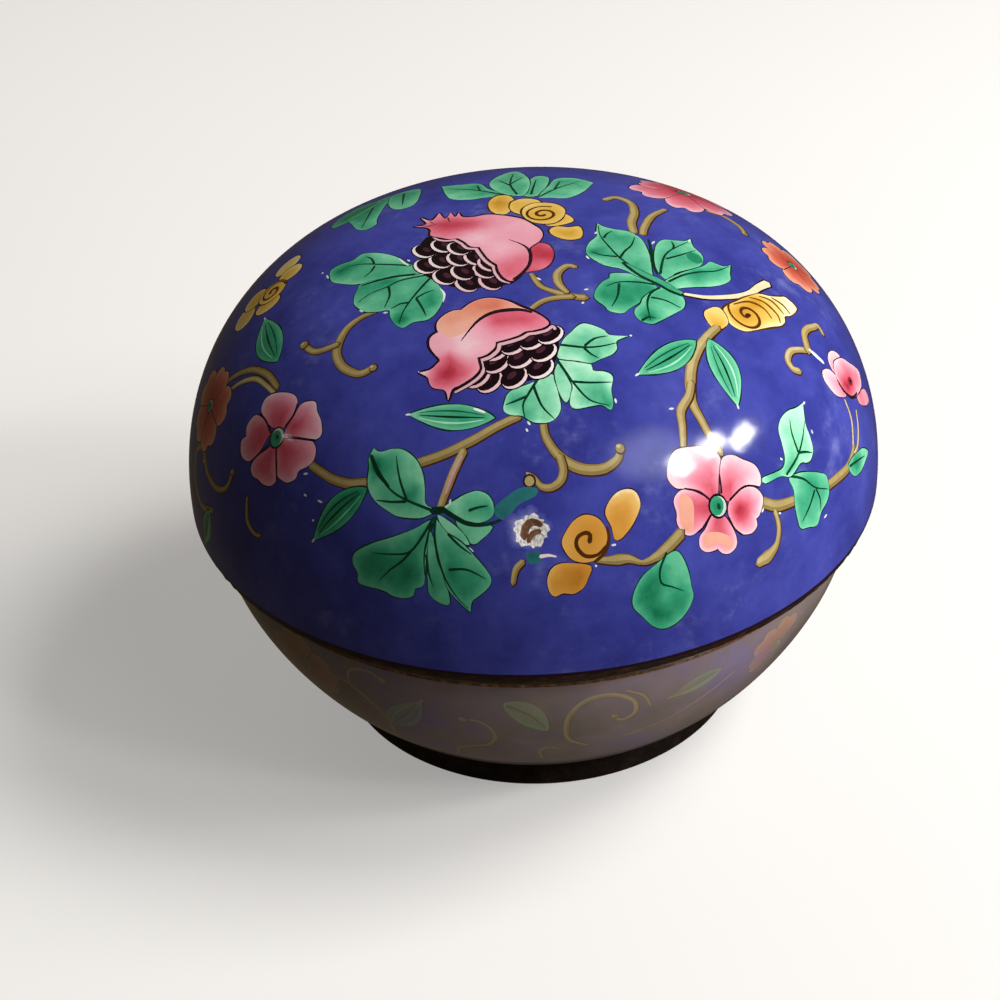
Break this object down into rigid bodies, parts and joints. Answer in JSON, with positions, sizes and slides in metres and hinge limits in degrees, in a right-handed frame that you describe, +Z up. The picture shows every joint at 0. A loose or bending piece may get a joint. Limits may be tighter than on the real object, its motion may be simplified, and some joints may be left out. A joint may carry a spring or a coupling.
{
  "type": "painted enamel box",
  "caption": "Round box with a domed lift-off lid and a shallow bowl on a foot ring, in enamelled copper painted with pomegranates and flowers on a blue ground.",
  "frame": {"origin": "centre of the circle that the foot ring stands on", "axes": "+Z up through the middle of the lid; the box is round, and -Y faces the viewer"},
  "size_m": [0.1, 0.1, 0.0735],
  "materials": {
    "lid_enamel": "gloss",
    "rim_copper": "satin",
    "bowl_enamel": "gloss",
    "seat_copper": "satin",
    "foot_copper": "matte"
  },
  "bodies": {
    "root": {"lid": "lid_enamel", "lid_rim": "rim_copper", "bowl": "bowl_enamel", "bowl_rim": "seat_copper", "foot_ring": "foot_copper"}
  },
  "joints": []
}
